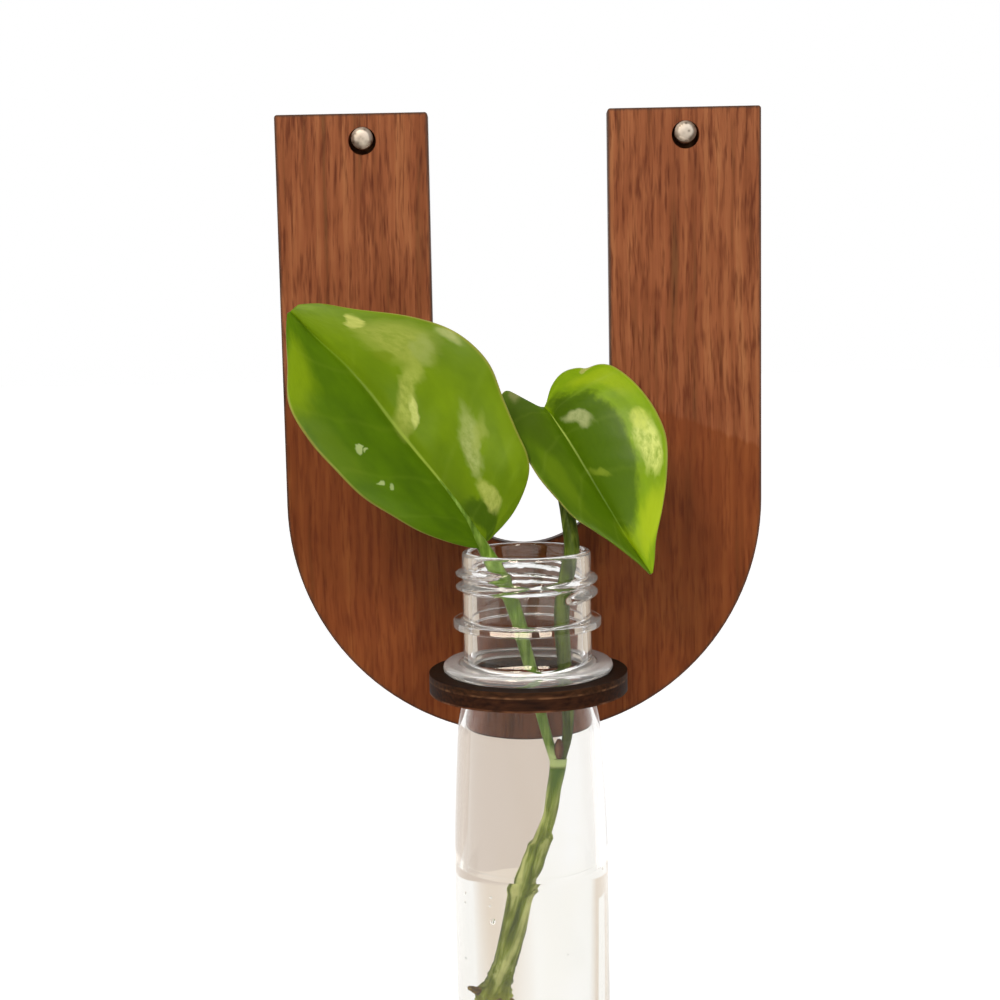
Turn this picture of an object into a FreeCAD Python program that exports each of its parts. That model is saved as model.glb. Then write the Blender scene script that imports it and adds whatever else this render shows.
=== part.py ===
import FreeCAD, Part
import math
import os

from FreeCAD import Placement, Rotation, Vector

# Wall-hung propagation vase: a U-shaped wooden plate hangs on two nails and carries a small
# round shelf. A clear tube drops through the shelf as far as its collar. It holds water and a
# leafy cutting with two leaves.
# Millimetres. Origin on the wall plane, midway across the plate and level with the nails.
# X to the viewer's right, Y into the wall, Z up.

# Back plate
plate_width = 98.0
plate_height = 128.3
plate_thickness = 3.0
plate_corner_round = 0.6
gap_width = 36.2
gap_foot = 40.4

# Nail holes and nails
nail_drop = 4.9
nail_inset = 16.4
nail_shift = 1.2
nail_hole_radius = 2.8
nail_head_radius = 2.2
nail_head_rim = 1.1
nail_head_dome = 0.8
nail_head_in_hole = 0.9
nail_head_round = 0.35
nail_bearing_gap = 0.05
nail_shank_radius = 1.2
nail_wall_depth = 23.6
nail_point_length = 4.0
nail_point_radius = 0.15

# Shelf rings: the shelf's height is that of its top over the plate's foot
shelf_height = 18.3
shelf_rim_width = 3.77
shelf_upper_thickness = 1.35
shelf_lower_thickness = 2.45
shelf_tab_width = 22.0
shelf_glue_gap = 0.05
shelf_plate_gap = 0.9
tube_pass_gap = 0.35

# Tube finish above the collar, as on a screw-necked blank. An inset is taken from the body's
# radius, and a reach is added to the neck's.
finish_height = 23.5
neck_inset = 2.71
neck_wall = 1.6
rim_outer_round = 0.6
rim_inner_round = 0.5
bead_reach = 1.89
bead_height = 9.65
bead_thickness = 1.5
bead_round = 0.6
bead_root_round = 0.4
collar_reach = 4.03
collar_thickness = 1.9
collar_round = 0.85
collar_root_round = 0.9

# Tube body below the collar
tube_length = 150.0
body_radius = 15.18
body_wall = 1.3
body_drop = 38.0
body_blend = 60.0
shoulder_inset = 1.08
shoulder_drop = 13.0
shoulder_blend = 40.0
root_inset = 2.28
root_height = 2.0
tube_floor = 1.9
gate_radius = 1.6
gate_height = 1.1
gate_round = 0.3

# Water
water_drop = 37.0
water_film = 0.05
water_stem_gap = 0.3

# Leaf stalks and stem. A thickness share is the piece's radius as a share of the bore's. A route
# runs from the top down: across and depth are shares of the bore radius from the tube axis, height
# is a share of the stalk's own rise above or drop below the mouth, and the last value is a share
# of the piece's radius.
left_stalk_thickness_share = 0.152
left_stalk_drop = 42.4
left_stalk_shares = [
    (-0.776, -0.304, 1.000, 0.72),
    (-0.607, -0.240, -0.042, 0.90),
    (-0.435, -0.180, -0.130, 0.95),
    (-0.248, -0.120, -0.243, 0.90),
    (0.044, -0.010, -0.552, 0.74),
    (0.312, 0.010, -0.851, 0.60),
    (0.470, 0.010, -1.000, 0.60),
]
right_stalk_thickness_share = 0.147
right_stalk_rise = 27.0
right_stalk_drop = 41.6
right_stalk_shares = [
    (0.370, 0.905, 1.000, 0.66),
    (0.460, 0.925, 0.880, 0.72),
    (0.640, 0.640, 0.520, 0.85),
    (0.775, 0.290, 0.200, 0.94),
    (0.815, 0.120, -0.030, 1.00),
    (0.710, 0.060, -0.140, 1.00),
    (0.625, 0.060, -0.290, 1.00),
    (0.665, 0.060, -0.550, 0.95),
    (0.700, 0.050, -0.750, 0.80),
    (0.680, 0.040, -0.880, 0.64),
    (0.570, 0.030, -1.000, 0.60),
]
stem_thickness_share = 0.161
stem_start_drop = 41.2
stem_length = 51.0
stem_shares = [
    (0.520, 0.020, 0.000, 0.98),
    (0.495, 0.020, 0.050, 0.90),
    (0.440, 0.020, 0.110, 0.85),
    (0.342, 0.025, 0.230, 0.80),
    (0.190, 0.035, 0.320, 0.96),
    (0.035, 0.050, 0.410, 1.07),
    (-0.118, 0.065, 0.495, 1.06),
    (-0.238, 0.085, 0.645, 1.03),
    (-0.372, 0.110, 0.800, 0.97),
    (-0.452, 0.125, 0.880, 1.10),
    (-0.512, 0.135, 0.925, 1.60),
    (-0.548, 0.140, 0.960, 1.30),
    (-0.575, 0.145, 1.000, 1.20),
]

# Root buds round the node, as shares of the bore radius, and the way each one points
root_bud_thickness_share = 0.087
root_bud_tip_share = 0.041
root_bud_length_share = 0.45
root_bud_ways = [
    (-0.93, -0.20, 0.28),
    (0.86, -0.35, -0.38),
    (0.10, -0.96, -0.22),
]

# Leaves. The foot of the rib is given as shares of the bore radius across and behind the tube's
# axis, and its height over the mouth. A station is: rib share along the blade, sideways share of
# the rib's bow, then along and across shares of the margin on the folded and on the broad half.
leaf_thickness = 0.7
leaf_crown = 0.5
left_leaf = {
    "foot_shares": (-0.776, -0.304),
    "foot_rise": 1.6,
    "lean": -38.0,
    "forward": 0.5,
    "length": 57.6,
    "folded_side": 1,
    "folded_half": 14.4,
    "folded_angle": 40.0,
    "broad_half": 23.1,
    "broad_angle": -5.0,
    "rib_bow": 1.9,
    "arch": 3.0,
}
left_leaf_shares = [
    (0.000, 0.00, (0.000, 0.080), (0.000, 0.070)),
    (0.040, 0.20, (0.035, 0.220), (0.017, 0.365)),
    (0.100, 0.55, (0.100, 0.420), (0.070, 0.630)),
    (0.180, 0.80, (0.180, 0.620), (0.130, 0.760)),
    (0.270, 0.93, (0.270, 0.770), (0.220, 0.825)),
    (0.380, 0.93, (0.380, 0.930), (0.330, 0.905)),
    (0.500, 0.95, (0.500, 0.980), (0.460, 1.000)),
    (0.620, 1.10, (0.620, 1.000), (0.600, 0.945)),
    (0.740, 0.95, (0.750, 0.900), (0.730, 0.740)),
    (0.850, 0.45, (0.850, 0.560), (0.860, 0.430)),
    (0.935, 0.15, (0.940, 0.260), (0.945, 0.240)),
    (0.990, 0.00, (0.990, 0.050), (0.990, 0.085)),
]
right_leaf = {
    "foot_shares": (0.377, 0.810),
    "foot_rise": 26.5,
    "lean": 147.6,
    "forward": 24.5,
    "length": 40.0,
    "folded_side": -1,
    "folded_half": 10.3,
    "folded_angle": 38.0,
    "broad_half": 18.3,
    "broad_angle": 6.0,
    "rib_bow": 0.7,
    "arch": 1.5,
}
right_leaf_shares = [
    (-0.015, 0.60, (-0.015, 0.100), (-0.015, 0.066)),
    (0.020, 0.80, (-0.100, 0.310), (-0.090, 0.236)),
    (0.050, 1.00, (-0.180, 0.500), (-0.111, 0.422)),
    (0.090, 1.00, (-0.140, 0.760), (-0.070, 0.620)),
    (0.150, 1.00, (-0.040, 0.920), (-0.008, 0.840)),
    (0.220, 1.00, (0.090, 1.000), (0.090, 0.940)),
    (0.310, 0.80, (0.220, 0.960), (0.220, 0.990)),
    (0.420, 0.50, (0.350, 0.960), (0.360, 0.985)),
    (0.540, 0.20, (0.480, 0.880), (0.500, 0.910)),
    (0.660, 0.00, (0.600, 0.780), (0.645, 0.705)),
    (0.780, -0.20, (0.700, 0.550), (0.765, 0.475)),
    (0.880, -0.20, (0.800, 0.330), (0.865, 0.250)),
    (0.950, -0.10, (0.900, 0.146), (0.945, 0.110)),
    (0.990, 0.00, (0.990, 0.034), (0.990, 0.020)),
]

# How far a cut runs past the face it goes through
overrun = 1.0

# Places worked out from the sizes
plate_top = nail_drop
plate_foot = plate_top - plate_height
plate_arc_z = plate_foot + plate_width / 2
gap_arc_z = plate_foot + gap_foot + gap_width / 2
nail_hole_z = -(nail_hole_radius - nail_head_radius - nail_bearing_gap)
nail_reach = plate_width / 2 - nail_inset
nail_places = {
    "left": nail_shift - nail_reach,
    "right": nail_shift + nail_reach,
}
shelf_top = plate_foot + shelf_height
shelf_seam = shelf_top - shelf_upper_thickness
shelf_bottom = shelf_seam - shelf_lower_thickness
neck_radius = body_radius - neck_inset
bore_radius = neck_radius - neck_wall
body_bore_radius = body_radius - body_wall
bead_radius = neck_radius + bead_reach
collar_radius = neck_radius + collar_reach
shoulder_radius = body_radius - shoulder_inset
shoulder_bore_radius = shoulder_radius - body_wall
root_radius = body_radius - root_inset
shelf_hole_radius = body_radius + tube_pass_gap
shelf_radius = shelf_hole_radius + shelf_rim_width
tube_axis_y = -(plate_thickness + shelf_plate_gap + shelf_radius)
mouth_z = shelf_top + finish_height
tube_bottom = finish_height - tube_length
bore_bottom = tube_bottom + tube_floor


def corner_arc(before, corner, after, radius):
    """Start, middle and end of the arc that rounds a corner."""
    to_before = (before - corner).normalize()
    to_after = (after - corner).normalize()
    half_angle = to_before.getAngle(to_after) / 2
    trim = radius / math.tan(half_angle)
    inward = (to_before + to_after).normalize()
    centre = corner + inward * (radius / math.sin(half_angle))
    return corner + to_before * trim, centre - inward * radius, corner + to_after * trim


def rounded_outline(corners):
    """Closed wire in the XZ plane through (x, z, rounding) corners."""
    places = [Vector(x, 0, z) for x, z, rounding in corners]
    count = len(places)
    arcs = []
    for i, (x, z, rounding) in enumerate(corners):
        if rounding > 0:
            arcs.append(corner_arc(places[i - 1], places[i], places[(i + 1) % count], rounding))
        else:
            arcs.append((places[i], None, places[i]))
    edges = []
    for i, (start, middle, end) in enumerate(arcs):
        if middle is not None:
            edges.append(Part.Arc(start, middle, end).toShape())
        following = arcs[(i + 1) % count][0]
        if not end.isEqual(following, FreeCAD.Base.Precision.confusion()):
            edges.append(Part.LineSegment(end, following).toShape())
    return Part.Wire(edges)


def revolved(corners):
    """Solid of revolution about the Z axis."""
    return Part.Face(rounded_outline(corners)).revolve(Vector(), Vector(0, 0, 1), 360)


def upright_cylinder(radius, bottom, top):
    return Part.makeCylinder(radius, top - bottom, Vector(0, tube_axis_y, bottom))


def block(low, high):
    size = high - low
    return Part.makeBox(size.x, size.y, size.z, low)


def u_plate_face():
    """Outline of the plate: two straight arms joined by a half round, with a half round gap."""
    half = plate_width / 2
    gap = gap_width / 2
    rounding = plate_corner_round
    outer_left = corner_arc(
        Vector(-half, 0, plate_arc_z), Vector(-half, 0, plate_top), Vector(-gap, 0, plate_top), rounding
    )
    inner_left = corner_arc(
        Vector(-half, 0, plate_top), Vector(-gap, 0, plate_top), Vector(-gap, 0, gap_arc_z), rounding
    )
    arcs = [outer_left, inner_left]
    for start, middle, end in (inner_left, outer_left):
        arcs.append([Vector(-point.x, 0, point.z) for point in (end, middle, start)])
    gap_round = (
        Vector(-gap, 0, gap_arc_z),
        Vector(0, 0, gap_arc_z - gap),
        Vector(gap, 0, gap_arc_z),
    )
    foot_round = (
        Vector(half, 0, plate_arc_z),
        Vector(0, 0, plate_arc_z - half),
        Vector(-half, 0, plate_arc_z),
    )
    arcs.insert(2, gap_round)
    arcs.append(foot_round)
    edges = []
    for i, (start, middle, end) in enumerate(arcs):
        edges.append(Part.Arc(start, middle, end).toShape())
        following = arcs[(i + 1) % len(arcs)][0]
        edges.append(Part.LineSegment(end, following).toShape())
    return Part.Face(Part.Wire(edges))


def back_plate():
    plate = u_plate_face().extrude(Vector(0, -plate_thickness, 0))
    for x in nail_places.values():
        start = Vector(x, overrun, nail_hole_z)
        depth = plate_thickness + 2 * overrun
        plate = plate.cut(Part.makeCylinder(nail_hole_radius, depth, start, Vector(0, -1, 0)))
    slot_half = shelf_tab_width / 2 + shelf_glue_gap
    low = Vector(-slot_half, -plate_thickness - overrun, shelf_bottom - shelf_glue_gap)
    high = Vector(slot_half, overrun, shelf_seam + shelf_glue_gap)
    return plate.cut(block(low, high))


def shelf_ring_lower():
    """Round shelf with a tab that runs back through the plate's slot."""
    disc = upright_cylinder(shelf_radius, shelf_bottom, shelf_seam)
    low = Vector(-shelf_tab_width / 2, tube_axis_y, shelf_bottom)
    high = Vector(shelf_tab_width / 2, 0, shelf_seam)
    hole = upright_cylinder(shelf_hole_radius, shelf_bottom - overrun, shelf_seam + overrun)
    return disc.fuse(block(low, high)).cut(hole).removeSplitter()


def shelf_ring_upper():
    disc = upright_cylinder(shelf_radius, shelf_seam, shelf_top)
    hole = upright_cylinder(shelf_hole_radius, shelf_seam - overrun, shelf_top + overrun)
    return disc.cut(hole)


def nail(x):
    """Round-headed nail: its head sits in the plate's hole and tapers to the shank at the wall."""
    head_back = plate_thickness - nail_head_in_hole
    head_top = head_back + nail_head_rim
    corners = [
        (0, -nail_wall_depth, 0),
        (nail_point_radius, -nail_wall_depth, 0),
        (nail_shank_radius, nail_point_length - nail_wall_depth, 0),
        (nail_shank_radius, 0, 0),
        (nail_head_radius, head_back, 0),
        (nail_head_radius, head_top, nail_head_round),
        (nail_head_radius / 2, head_top + nail_head_dome, nail_head_radius),
        (0, head_top + nail_head_dome, 0),
    ]
    shape = revolved(corners)
    shape.Placement = Placement(Vector(x, 0, 0), Rotation(Vector(0, 0, 1), Vector(0, -1, 0)))
    return shape


def shoulder_bore_radius_at(height):
    """The bore widens evenly from the shoulder down to the body."""
    share = (-height - shoulder_drop) / (body_drop - shoulder_drop)
    return shoulder_bore_radius + (body_bore_radius - shoulder_bore_radius) * share


def tube():
    """Thin-walled clear tube with a screw neck's bead and collar, a swelling body and round foot."""
    bead_low = bead_height - bead_thickness / 2
    bead_high = bead_height + bead_thickness / 2
    corners = [
        (0, tube_bottom - gate_height, 0),
        (gate_radius, tube_bottom - gate_height, gate_round),
        (gate_radius, tube_bottom, 0),
        (body_radius, tube_bottom, body_radius - gate_radius),
        (body_radius, -body_drop, body_blend),
        (shoulder_radius, -shoulder_drop, shoulder_blend),
        (root_radius, -root_height, 0),
        (root_radius, 0, 0),
        (collar_radius, 0, collar_round),
        (collar_radius, collar_thickness, collar_round),
        (neck_radius, collar_thickness, collar_root_round),
        (neck_radius, bead_low, bead_root_round),
        (bead_radius, bead_low, bead_round),
        (bead_radius, bead_high, bead_round),
        (neck_radius, bead_high, bead_root_round),
        (neck_radius, finish_height, rim_outer_round),
        (bore_radius, finish_height, rim_inner_round),
        (bore_radius, 0, shoulder_blend),
        (shoulder_bore_radius, -shoulder_drop, shoulder_blend),
        (body_bore_radius, -body_drop, body_blend),
        (body_bore_radius, bore_bottom, body_bore_radius),
        (0, bore_bottom, 0),
    ]
    shape = revolved(corners)
    shape.translate(Vector(0, tube_axis_y, shelf_top))
    return shape


def water(stem_room):
    """Water up to its level, less the room that the stem takes."""
    foot = bore_bottom + water_film
    foot_radius = body_bore_radius - water_film
    corners = [
        (0, foot, 0),
        (foot_radius, foot, foot_radius),
        (foot_radius, -body_drop, 0),
        (shoulder_bore_radius_at(-water_drop) - water_film, -water_drop, 0),
        (0, -water_drop, 0),
    ]
    shape = revolved(corners)
    shape.translate(Vector(0, tube_axis_y, shelf_top))
    for piece in stem_room:
        shape = shape.cut(piece)
    return shape


def from_mouth(across, depth, height):
    return Vector(across, tube_axis_y + depth, mouth_z + height)


def stalk(places, radii, top_way=None):
    """Round stalk through the places, listed from the top down. A top way turns its top face."""
    rings = []
    last = len(places) - 1
    for i, place in enumerate(places):
        upward = places[max(i - 1, 0)] - places[min(i + 1, last)]
        if i == 0 and top_way is not None:
            upward = top_way
        ring = Part.Wire(Part.Circle(Vector(), Vector(0, 0, 1), radii[i]).toShape())
        ring.Placement = Placement(place, Rotation(Vector(0, 0, 1), upward))
        rings.append(ring)
    return Part.makeLoft(rings, True, False)


def leaf_stalk(shares, thickness_share, rise, drop, leaf=None):
    """A leaf's stalk. With a leaf given, it runs square into the foot of that leaf's rib."""
    radius = thickness_share * bore_radius
    places = []
    radii = []
    for across_share, depth_share, height_share, radius_share in shares:
        reach = rise if height_share > 0 else drop
        places.append(
            from_mouth(across_share * bore_radius, depth_share * bore_radius, height_share * reach)
        )
        radii.append(radius * radius_share)
    if leaf is None:
        return stalk(places, radii)
    places[0] = leaf_foot(leaf)
    return stalk(places, radii, leaf_axes(leaf)[0])


def stem_places():
    return [
        from_mouth(
            across_share * bore_radius,
            depth_share * bore_radius,
            -stem_start_drop - drop_share * stem_length,
        )
        for across_share, depth_share, drop_share, radius_share in stem_shares
    ]


def main_stem(extra=0):
    """The stem, or with extra the room it takes: that much larger all round and at its foot."""
    places = stem_places()
    radius = stem_thickness_share * bore_radius
    radii = [radius * radius_share + extra for *place, radius_share in stem_shares]
    if extra > 0:
        places.append(places[-1] - (places[-2] - places[-1]).normalize() * extra)
        radii.append(radii[-1])
    return stalk(places, radii)


def root_buds(extra=0):
    """Short blunt buds that stand out from the node, where the stem is thickest."""
    thickest = max(stem_shares, key=lambda station: station[-1])
    node = stem_places()[stem_shares.index(thickest)]
    shares = root_bud_thickness_share, root_bud_tip_share, root_bud_length_share
    radius, tip_radius, length = (share * bore_radius + extra for share in shares)
    buds = [Part.makeCone(radius, tip_radius, length, node, Vector(*way)) for way in root_bud_ways]
    return Part.makeCompound(buds)


def leaf_axes(leaf):
    """Unit vectors from stalk to tip, across to the folded half, and out of the blade's face."""
    lean = math.radians(leaf["lean"])
    forward = math.radians(leaf["forward"])
    tipward = Vector(
        math.sin(lean) * math.cos(forward), -math.sin(forward), math.cos(lean) * math.cos(forward)
    )
    outward = Vector(
        -math.sin(lean) * math.sin(forward), -math.cos(forward), -math.cos(lean) * math.sin(forward)
    )
    return tipward, outward.cross(tipward) * leaf["folded_side"], outward


def leaf_foot(leaf):
    across, depth = (share * bore_radius for share in leaf["foot_shares"])
    return from_mouth(across, depth, leaf["foot_rise"])


def leaf_point(leaf, along_share, across, angle):
    """A place on the blade's middle surface: across is negative on the broad half."""
    tipward, side, outward = leaf_axes(leaf)
    angle = math.radians(angle)
    raised = leaf["arch"] * 4 * along_share * (1 - along_share) + abs(across) * math.sin(angle)
    place = leaf_foot(leaf) + tipward * (along_share * leaf["length"])
    return place + side * (across * math.cos(angle)) + outward * raised


def leaf_section(leaf, station):
    """Wire round the blade: two crowned halves in front, the same behind, and two thin edges."""
    rib_share, bow_share, folded_margin, broad_margin = station
    outward = leaf_axes(leaf)[2]
    folded_width = folded_margin[1] * leaf["folded_half"]
    broad_width = broad_margin[1] * leaf["broad_half"]
    margin_a = leaf_point(leaf, folded_margin[0], folded_width, leaf["folded_angle"])
    rib = leaf_point(leaf, rib_share, -bow_share * leaf["rib_bow"], 0)
    margin_b = leaf_point(leaf, broad_margin[0], -broad_width, leaf["broad_angle"])
    crown_a = (margin_a + rib) / 2 + outward * (leaf_crown * folded_margin[1])
    crown_b = (margin_b + rib) / 2 + outward * (leaf_crown * broad_margin[1])
    to_face = outward * (leaf_thickness / 2)
    front = [place + to_face for place in (margin_a, crown_a, rib, crown_b, margin_b)]
    back = [place - to_face for place in (margin_b, crown_b, rib, crown_a, margin_a)]
    edges = [
        Part.Arc(*front[:3]).toShape(),
        Part.Arc(*front[2:]).toShape(),
        Part.LineSegment(front[-1], back[0]).toShape(),
        Part.Arc(*back[:3]).toShape(),
        Part.Arc(*back[2:]).toShape(),
        Part.LineSegment(back[-1], front[0]).toShape(),
    ]
    return Part.Wire(edges)


def leaf_blade(leaf, stations):
    """Thin folded blade lofted from the stalk to the tip. Its first and last wires are flat."""
    return Part.makeLoft([leaf_section(leaf, station) for station in stations], True, False)


def cutting():
    """Stem, stalks, leaves and root buds, trimmed where one runs into the next."""
    stem = main_stem()
    blades = {
        "left_leaf": leaf_blade(left_leaf, left_leaf_shares),
        "right_leaf": leaf_blade(right_leaf, right_leaf_shares),
    }
    left = leaf_stalk(
        left_stalk_shares,
        left_stalk_thickness_share,
        left_leaf["foot_rise"],
        left_stalk_drop,
        left_leaf,
    )
    right = leaf_stalk(
        right_stalk_shares, right_stalk_thickness_share, right_stalk_rise, right_stalk_drop
    )
    pieces = {
        "main_stem": stem,
        "left_leaf_stalk": left.cut(stem),
        "right_leaf_stalk": right.cut(stem).cut(left).cut(blades["right_leaf"]),
        "root_buds": root_buds().cut(stem),
    }
    pieces.update(blades)
    return pieces


def build_parts():
    pieces = {
        "back_plate": back_plate(),
        "shelf_ring_lower": shelf_ring_lower(),
        "shelf_ring_upper": shelf_ring_upper(),
        "tube": tube(),
    }
    for side, x in nail_places.items():
        pieces[side + "_nail"] = nail(x)
    pieces.update(cutting())
    pieces["water"] = water([main_stem(water_stem_gap), root_buds(water_stem_gap)])
    return pieces


os.makedirs("parts", exist_ok=True)
for name, shape in build_parts().items():
    shape.exportStep("parts/" + name + ".step")
    print(name, "valid" if shape.isValid() else "BROKEN", len(shape.Solids), "solids", shape.BoundBox)
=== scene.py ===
import math
from functools import partial

import bpy
import numpy as np
from mathutils import Matrix, Vector, noise


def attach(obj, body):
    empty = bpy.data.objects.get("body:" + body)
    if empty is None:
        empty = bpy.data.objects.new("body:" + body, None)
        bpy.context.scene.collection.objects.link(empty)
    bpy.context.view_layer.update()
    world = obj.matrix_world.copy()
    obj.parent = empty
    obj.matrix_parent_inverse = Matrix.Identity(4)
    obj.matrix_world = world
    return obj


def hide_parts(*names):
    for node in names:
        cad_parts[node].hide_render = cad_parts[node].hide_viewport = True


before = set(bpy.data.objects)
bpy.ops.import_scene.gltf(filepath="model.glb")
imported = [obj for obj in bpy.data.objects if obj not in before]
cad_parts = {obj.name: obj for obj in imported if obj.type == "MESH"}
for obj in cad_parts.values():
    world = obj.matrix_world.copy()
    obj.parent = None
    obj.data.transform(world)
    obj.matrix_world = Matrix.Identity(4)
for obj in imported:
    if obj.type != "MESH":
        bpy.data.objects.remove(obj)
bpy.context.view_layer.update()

# Wall-hung propagation vase, in metres, in the frame of the CAD model: origin on the wall plane
# level with the nails, X to the right, Y into the wall, Z up. Lengths below are millimetres
# times MM.
MM = 0.001

# ---- The vase's own sizes, as in the part's source ----
PLATE_HALF = 49.0
PLATE_TOP = 4.9
PLATE_ARC_Z = -74.4
GAP_HALF = 18.1
GAP_ARC_Z = -64.9
SHELF_TOP = -105.1
SHELF_SEAM = -106.45
TUBE_Y = -23.2
# The tube's heights are counted from the shelf's top, and its other sizes are radii
MOUTH = 23.5
NECK = 12.47
BORE = 10.87
COLLAR, COLLAR_TOP = 16.5, 1.9
BEAD, BEAD_LOW, BEAD_TOP = 14.36, 8.9, 10.4
SHOULDER = 12.9
SHOULDER_WALL = 2.03
BODY = 15.18
WALL = 1.3
BODY_BOTTOM = -112.5
TUBE_BOTTOM = -126.5
BORE_BOTTOM = -124.6
GATE, GATE_BOTTOM = 1.6, TUBE_BOTTOM - 1.1
WATER_LEVEL = -37.0
NAILS = {"left": -31.4, "right": 33.8}


# ---- Modelling helpers ----
def choose(*pieces):
    """Selects these pieces alone and makes the first one active."""
    bpy.ops.object.select_all(action="DESELECT")
    for piece in pieces:
        piece.select_set(True)
    bpy.context.view_layer.objects.active = pieces[0]


def start_editing():
    bpy.ops.object.mode_set(mode="EDIT")
    bpy.ops.mesh.select_all(action="SELECT")


def stop_editing():
    bpy.ops.object.mode_set(mode="OBJECT")


def edit_all(operator, **settings):
    """Runs an operator on the whole mesh of the active piece."""
    start_editing()
    operator(**settings)
    stop_editing()


def name_piece(name):
    piece = bpy.context.object
    piece.name = name
    piece.data.name = name
    return piece


def settle(piece):
    """Puts the piece's place into its mesh."""
    choose(piece)
    bpy.ops.object.transform_apply(location=True, rotation=True, scale=True)


def close_up():
    """In edit mode: merges doubles and turns all faces outwards."""
    bpy.ops.mesh.select_all(action="SELECT")
    bpy.ops.mesh.remove_doubles(threshold=0.002 * MM)
    bpy.ops.mesh.normals_make_consistent(inside=False)


def apply_modifier(piece, kind, **settings):
    modifier = piece.modifiers.new(kind.title(), kind)
    for setting, value in settings.items():
        setattr(modifier, setting, value)
    choose(piece)
    bpy.ops.object.modifier_apply(modifier=modifier.name)


def smooth_shade(piece, angle):
    choose(piece)
    bpy.ops.object.shade_smooth_by_angle(angle=math.radians(angle))


def rounded_profile(corners, steps=6):
    """(radius, height) points through corners of (radius, height, rounding)."""
    points = []
    for i, (radius, height, rounding) in enumerate(corners):
        corner = Vector((radius, height))
        if rounding == 0:
            points.append(corner)
            continue
        before = (Vector(corners[i - 1][:2]) - corner).normalized()
        after = (Vector(corners[i + 1][:2]) - corner).normalized()
        half = before.angle(after) / 2
        centre = corner + (before + after).normalized() * (rounding / math.sin(half))
        start = corner + before * (rounding / math.tan(half)) - centre
        end = corner + after * (rounding / math.tan(half)) - centre
        for step in range(steps + 1):
            points.append(centre + start.slerp(end, step / steps).normalized() * rounding)
    return points


def turned(name, points, steps, centre_y, base_z):
    """A turned piece: its profile is drawn point by point, then spun about the upright axis."""
    bpy.ops.mesh.primitive_plane_add(size=MM, location=(0, 0, 0))
    start_editing()
    bpy.ops.mesh.merge(type="CENTER")
    place = Vector((0, 0, 0))
    for i, (radius, height) in enumerate(points):
        target = Vector((radius * MM, centre_y * MM, (base_z + height) * MM))
        if i == 0:
            bpy.ops.transform.translate(value=target - place)
        else:
            bpy.ops.mesh.extrude_region_move(TRANSFORM_OT_translate={"value": target - place})
        place = target
    bpy.ops.mesh.select_all(action="SELECT")
    bpy.ops.mesh.spin(
        steps=steps, angle=math.tau, center=(0, centre_y * MM, 0), axis=(0, 0, 1), dupli=False
    )
    close_up()
    stop_editing()
    return name_piece(name)


def smooth_at(stations, place):
    """A value between numbered stations, on a smooth curve through them."""
    last = len(stations) - 1
    i = min(int(place), last - 1)
    t = place - i
    a, b, c, d = (np.array(stations[min(max(j, 0), last)]) for j in (i - 1, i, i + 1, i + 2))
    return (2 * b + (c - a) * t + (2 * a - 5 * b + 4 * c - d) * t ** 2
            + (3 * b - a - 3 * c + d) * t ** 3) / 2


def ease(low, high, value):
    t = min(max((value - low) / (high - low), 0), 1)
    return t * t * (3 - 2 * t)


def rounded_rod(name, places, radii, sides=16, follow=4):
    """A round stalk along a curve through the places, with its own radius at each."""
    bpy.ops.curve.primitive_bezier_curve_add()
    rod = bpy.context.object
    curve = rod.data
    spline = curve.splines[0]
    spline.bezier_points.add(len(places) - 2)
    for point, place, radius in zip(spline.bezier_points, places, radii):
        point.co = Vector(place) * MM
        point.handle_left_type = point.handle_right_type = "AUTO"
        point.radius = radius
    curve.dimensions = "3D"
    curve.resolution_u = follow
    curve.bevel_depth = MM
    curve.bevel_resolution = sides // 4 - 1
    curve.use_fill_caps = True
    rod.location = (0, 0, 0)
    bpy.ops.object.convert(target="MESH")
    edit_all(close_up)
    return name_piece(name)


def join(name, pieces):
    choose(*pieces)
    bpy.ops.object.join()
    return name_piece(name)


# ---- Material helpers ----
def linear(code):
    """sRGB hex to a linear colour."""
    values = [int(code[i:i + 2], 16) / 255 for i in (1, 3, 5)]
    return [v / 12.92 if v <= 0.04045 else ((v + 0.055) / 1.055) ** 2.4 for v in values] + [1.0]


def wire(node, inputs):
    """Sets a node's inputs, by name or in order, to values or links. A node as a value stands for
    its first output."""
    for key, value in inputs.items() if isinstance(inputs, dict) else enumerate(inputs):
        if isinstance(value, bpy.types.Node):
            value = value.outputs[0]
        if isinstance(value, bpy.types.NodeSocket):
            node.id_data.links.new(value, node.inputs[key])
        else:
            node.inputs[key].default_value = value


def add_node(tree, kind, inputs=None, stops=None, **settings):
    """Adds a node with its settings, its inputs as in wire(), and a ramp's colour stops. In order,
    MapRange takes its value, from min, from max, to min and to max."""
    made = tree.nodes.new("ShaderNode" + kind)
    for setting, value in settings.items():
        setattr(made, setting, value)
    if stops:
        elements = made.color_ramp.elements
        for i, (place, code) in enumerate(stops):
            element = elements[i] if i < len(elements) else elements.new(place)
            element.position = place
            element.color = linear(code)
    wire(made, inputs or {})
    return made


def new_finish(name, **sockets):
    """A material, add_node() for its tree, and its shader with plain values on its sockets."""
    material = bpy.data.materials.new(name)
    material.use_nodes = True
    shader = material.node_tree.nodes["Principled BSDF"]
    wire(shader, {socket.replace("_", " "): value for socket, value in sockets.items()})
    return material, partial(add_node, material.node_tree), shader


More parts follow.
